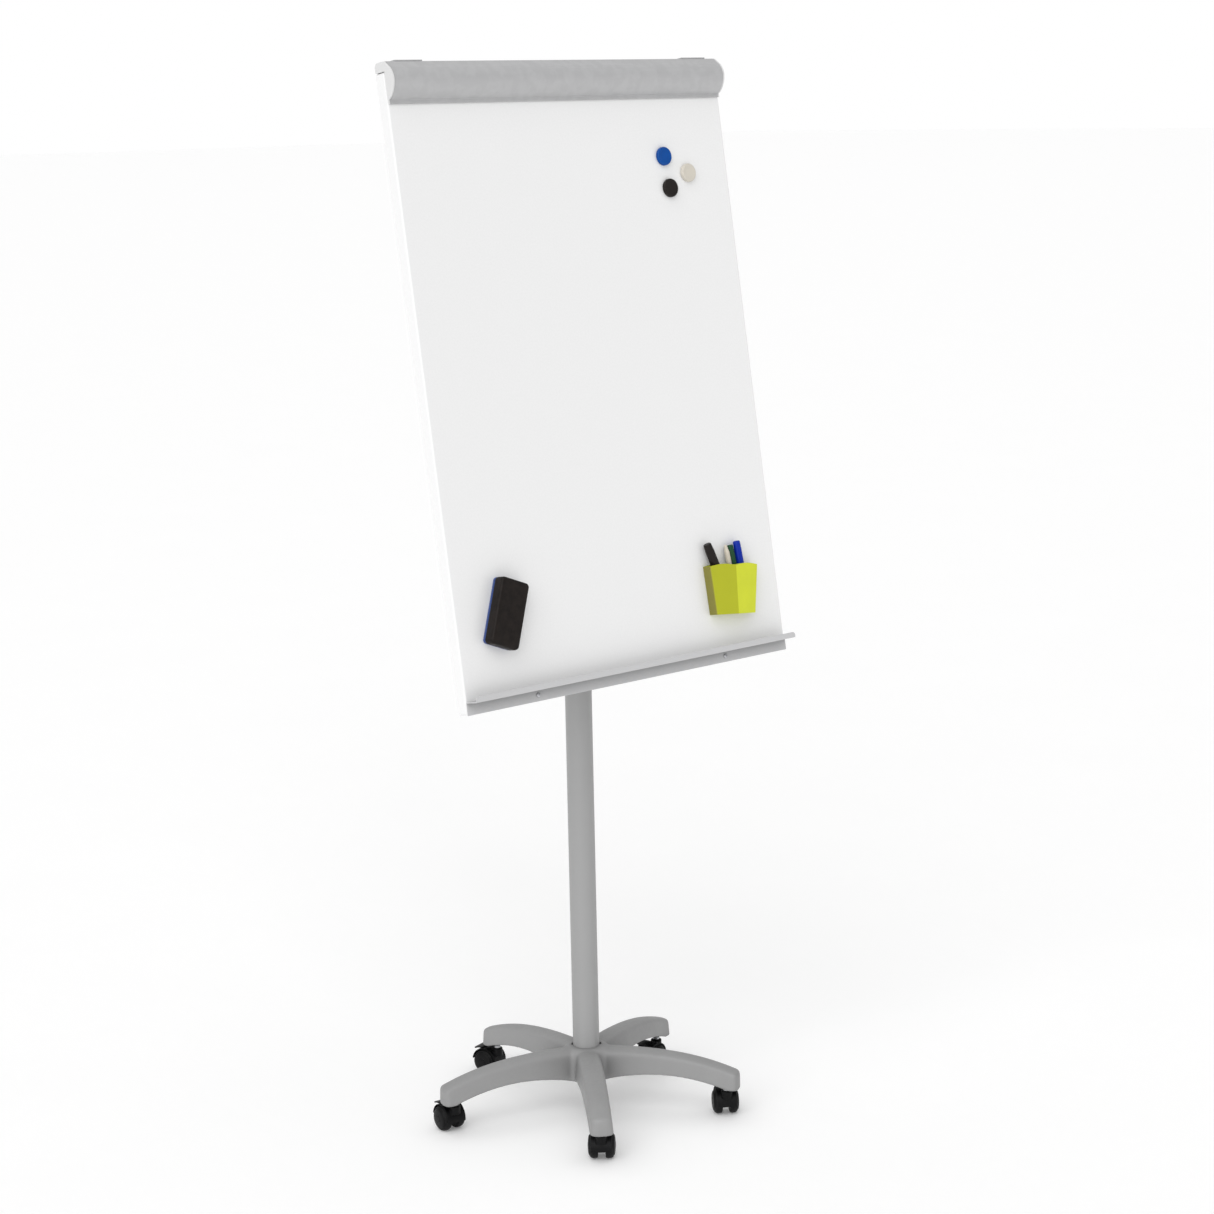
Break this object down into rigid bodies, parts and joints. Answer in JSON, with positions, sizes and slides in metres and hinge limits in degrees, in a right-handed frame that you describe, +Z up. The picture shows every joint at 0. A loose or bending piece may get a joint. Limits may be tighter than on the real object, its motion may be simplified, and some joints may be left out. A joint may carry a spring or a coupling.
{
  "type": "mobile flipchart easel",
  "caption": "Mobile flipchart easel: magnetic board with sprung paper clamp and pen tray, telescopic column, star base on braked castors, loose accessories.",
  "frame": {"origin": "on the floor, at the centre of the footprint box", "axes": "+Z up, the writing face looks toward -Y, +X is the right-hand side of someone facing the board"},
  "size_m": [0.7, 0.5082, 1.7718],
  "materials": {
    "base_grey": "satin moulded",
    "column_paint": "satin powder coat",
    "fixings_steel": "zinc plated",
    "black_plastic": "satin moulded",
    "board_white": "gloss lacquer",
    "back_sheet": "satin lacquer",
    "clamp_grey": "satin",
    "tray_grey": "satin",
    "cap_white": "satin moulded",
    "magnet_blue": "gloss",
    "magnet_cream": "gloss",
    "accessory_black": "satin",
    "eraser_shell": "satin",
    "eraser_felt": "felt",
    "holder_lime": "satin",
    "marker_cream": "gloss",
    "marker_green": "gloss",
    "marker_blue": "gloss"
  },
  "bodies": {
    "base": {"star_base": "base_grey", "hub_bolt": "fixings_steel", "outer_column": "column_paint", "height_collar": "black_plastic", "castor_stem_right": "fixings_steel", "castor_stem_back": "fixings_steel", "castor_stem_left": "fixings_steel", "castor_stem_front_left": "fixings_steel", "castor_stem_front_right": "fixings_steel"},
    "castor_right": {"castor_housing_right": "black_plastic", "castor_axle_right": "fixings_steel"},
    "wheel_right_a": {"wheel_right_a": "black_plastic"},
    "wheel_right_b": {"wheel_right_b": "black_plastic"},
    "brake_right": {"brake_lever_right": "black_plastic"},
    "castor_back": {"castor_housing_back": "black_plastic", "castor_axle_back": "fixings_steel"},
    "wheel_back_a": {"wheel_back_a": "black_plastic"},
    "wheel_back_b": {"wheel_back_b": "black_plastic"},
    "brake_back": {"brake_lever_back": "black_plastic"},
    "castor_left": {"castor_housing_left": "black_plastic", "castor_axle_left": "fixings_steel"},
    "wheel_left_a": {"wheel_left_a": "black_plastic"},
    "wheel_left_b": {"wheel_left_b": "black_plastic"},
    "brake_left": {"brake_lever_left": "black_plastic"},
    "castor_front_left": {"castor_housing_front_left": "black_plastic", "castor_axle_front_left": "fixings_steel"},
    "wheel_front_left_a": {"wheel_front_left_a": "black_plastic"},
    "wheel_front_left_b": {"wheel_front_left_b": "black_plastic"},
    "brake_front_left": {"brake_lever_front_left": "black_plastic"},
    "castor_front_right": {"castor_housing_front_right": "black_plastic", "castor_axle_front_right": "fixings_steel"},
    "wheel_front_right_a": {"wheel_front_right_a": "black_plastic"},
    "wheel_front_right_b": {"wheel_front_right_b": "black_plastic"},
    "brake_front_right": {"brake_lever_front_right": "black_plastic"},
    "height_knob": {"height_knob": "black_plastic"},
    "mast": {"inner_column": "column_paint", "tilt_yoke": "black_plastic", "tilt_bolt": "fixings_steel"},
    "tilt_knob": {"tilt_knob": "black_plastic"},
    "board": {"back_frame": "column_paint", "board_face": "board_white", "board_back": "back_sheet", "pen_tray": "tray_grey", "tray_screw_left": "fixings_steel", "tray_screw_right": "fixings_steel"},
    "clamp": {"clamp_bar": "clamp_grey", "clamp_cap_left": "cap_white", "clamp_cap_right": "cap_white", "clamp_strap_left": "clamp_grey", "clamp_strap_right": "clamp_grey"},
    "magnet_blue": {"magnet_blue": "magnet_blue"},
    "magnet_cream": {"magnet_cream": "magnet_cream"},
    "magnet_black": {"magnet_black": "accessory_black"},
    "eraser": {"eraser_body": "eraser_shell", "eraser_felt": "eraser_felt"},
    "pen_holder": {"pen_holder": "holder_lime"},
    "marker_black": {"marker_black": "accessory_black"},
    "marker_cream": {"marker_cream": "marker_cream"},
    "marker_green": {"marker_green": "marker_green"},
    "marker_blue": {"marker_blue": "marker_blue"}
  },
  "joints": [
    {"name": "swivel_right", "type": "hinge", "parent": "base", "child": "castor_right", "pos_m": [0.23111, 0.04094, 0.046], "axis": [0, 0, 1], "continuous": true},
    {"name": "spin_right_a", "type": "hinge", "parent": "castor_right", "child": "wheel_right_a", "pos_m": [0.21372, 0.03628, 0.0215], "axis": [-0.2588, 0.9659, 0], "continuous": true},
    {"name": "spin_right_b", "type": "hinge", "parent": "castor_right", "child": "wheel_right_b", "pos_m": [0.21372, 0.03628, 0.0215], "axis": [-0.2588, 0.9659, 0], "continuous": true},
    {"name": "brake_press_right", "type": "hinge", "parent": "castor_right", "child": "brake_right", "pos_m": [0.20986, 0.03525, 0.0474], "axis": [0.2588, -0.9659, 0], "range_deg": [0, 14]},
    {"name": "swivel_back", "type": "hinge", "parent": "base", "child": "castor_back", "pos_m": [0, 0.20885, 0.046], "axis": [0, 0, 1], "continuous": true},
    {"name": "spin_back_a", "type": "hinge", "parent": "castor_back", "child": "wheel_back_a", "pos_m": [-0.00496, 0.22615, 0.0215], "axis": [0.9613, 0.2756, 0], "continuous": true},
    {"name": "spin_back_b", "type": "hinge", "parent": "castor_back", "child": "wheel_back_b", "pos_m": [-0.00496, 0.22615, 0.0215], "axis": [0.9613, 0.2756, 0], "continuous": true},
    {"name": "brake_press_back", "type": "hinge", "parent": "castor_back", "child": "brake_back", "pos_m": [-0.00606, 0.23, 0.0474], "axis": [-0.9613, -0.2756, 0], "range_deg": [0, 14]},
    {"name": "swivel_left", "type": "hinge", "parent": "base", "child": "castor_left", "pos_m": [-0.23111, 0.04094, 0.046], "axis": [0, 0, 1], "continuous": true},
    {"name": "spin_left_a", "type": "hinge", "parent": "castor_left", "child": "wheel_left_a", "pos_m": [-0.22923, 0.05885, 0.0215], "axis": [0.9945, -0.1045, 0], "continuous": true},
    {"name": "spin_left_b", "type": "hinge", "parent": "castor_left", "child": "wheel_left_b", "pos_m": [-0.22923, 0.05885, 0.0215], "axis": [0.9945, -0.1045, 0], "continuous": true},
    {"name": "brake_press_left", "type": "hinge", "parent": "castor_left", "child": "brake_left", "pos_m": [-0.22881, 0.06282, 0.0474], "axis": [-0.9945, 0.1045, 0], "range_deg": [0, 14]},
    {"name": "swivel_front_left", "type": "hinge", "parent": "base", "child": "castor_front_left", "pos_m": [-0.14283, -0.23074, 0.046], "axis": [0, 0, 1], "continuous": true},
    {"name": "spin_front_left_a", "type": "hinge", "parent": "castor_front_left", "child": "wheel_front_left_a", "pos_m": [-0.13033, -0.21779, 0.0215], "axis": [0.7193, -0.6947, 0], "continuous": true},
    {"name": "spin_front_left_b", "type": "hinge", "parent": "castor_front_left", "child": "wheel_front_left_b", "pos_m": [-0.13033, -0.21779, 0.0215], "axis": [0.7193, -0.6947, 0], "continuous": true},
    {"name": "brake_press_front_left", "type": "hinge", "parent": "castor_front_left", "child": "brake_front_left", "pos_m": [-0.12755, -0.21491, 0.0474], "axis": [-0.7193, 0.6947, 0], "range_deg": [0, 14]},
    {"name": "swivel_front_right", "type": "hinge", "parent": "base", "child": "castor_front_right", "pos_m": [0.14283, -0.23074, 0.046], "axis": [0, 0, 1], "continuous": true},
    {"name": "spin_front_right_a", "type": "hinge", "parent": "castor_front_right", "child": "wheel_front_right_a", "pos_m": [0.15341, -0.21618, 0.0215], "axis": [0.809, -0.5878, 0], "continuous": true},
    {"name": "spin_front_right_b", "type": "hinge", "parent": "castor_front_right", "child": "wheel_front_right_b", "pos_m": [0.15341, -0.21618, 0.0215], "axis": [0.809, -0.5878, 0], "continuous": true},
    {"name": "brake_press_front_right", "type": "hinge", "parent": "castor_front_right", "child": "brake_front_right", "pos_m": [0.15576, -0.21294, 0.0474], "axis": [-0.809, 0.5878, 0], "range_deg": [0, 14]},
    {"name": "height_lock_turn", "type": "hinge", "parent": "base", "child": "height_knob", "pos_m": [0, 0.00185, 0.866], "axis": [0, 1, 0], "range_deg": [0, 360]},
    {"name": "height_slide", "type": "slide", "parent": "base", "child": "mast", "axis": [0, 0, 1], "range_m": [-0.1, 0.2]},
    {"name": "tilt_lock_turn", "type": "hinge", "parent": "mast", "child": "tilt_knob", "pos_m": [0.026, -0.03415, 1.2], "axis": [1, 0, 0], "range_deg": [0, 360]},
    {"name": "board_tilt", "type": "hinge", "parent": "mast", "child": "board", "pos_m": [0, -0.03415, 1.2], "axis": [-1, 0, 0], "range_deg": [-9.1, 20.9]},
    {"name": "clamp_open", "type": "hinge", "parent": "board", "child": "clamp", "pos_m": [0, 0.01161, 1.76091], "axis": [-1, 0, 0], "range_deg": [0, 15], "stiffness_Nm_per_rad": 2, "springref_deg": -28.65},
    {"name": "magnet_blue_off", "type": "slide", "parent": "board", "child": "magnet_blue", "axis": [0, -0.9874, 0.1582], "range_m": [0, 0.1]},
    {"name": "magnet_cream_off", "type": "slide", "parent": "board", "child": "magnet_cream", "axis": [0, -0.9874, 0.1582], "range_m": [0, 0.1]},
    {"name": "magnet_black_off", "type": "slide", "parent": "board", "child": "magnet_black", "axis": [0, -0.9874, 0.1582], "range_m": [0, 0.1]},
    {"name": "eraser_off", "type": "slide", "parent": "board", "child": "eraser", "axis": [0, -0.9874, 0.1582], "range_m": [0, 0.1]},
    {"name": "holder_off", "type": "slide", "parent": "board", "child": "pen_holder", "axis": [0, -0.9874, 0.1582], "range_m": [0, 0.1]},
    {"name": "marker_black_lift", "type": "slide", "parent": "pen_holder", "child": "marker_black", "axis": [-0.3355, 0.149, 0.9302], "range_m": [0, 0.12]},
    {"name": "marker_cream_lift", "type": "slide", "parent": "pen_holder", "child": "marker_cream", "axis": [-0.1115, 0.1572, 0.9813], "range_m": [0, 0.12]},
    {"name": "marker_green_lift", "type": "slide", "parent": "pen_holder", "child": "marker_green", "axis": [-0.1011, 0.1573, 0.9824], "range_m": [0, 0.12]},
    {"name": "marker_blue_lift", "type": "slide", "parent": "pen_holder", "child": "marker_blue", "axis": [-0.0785, 0.1577, 0.9844], "range_m": [0, 0.12]}
  ]
}
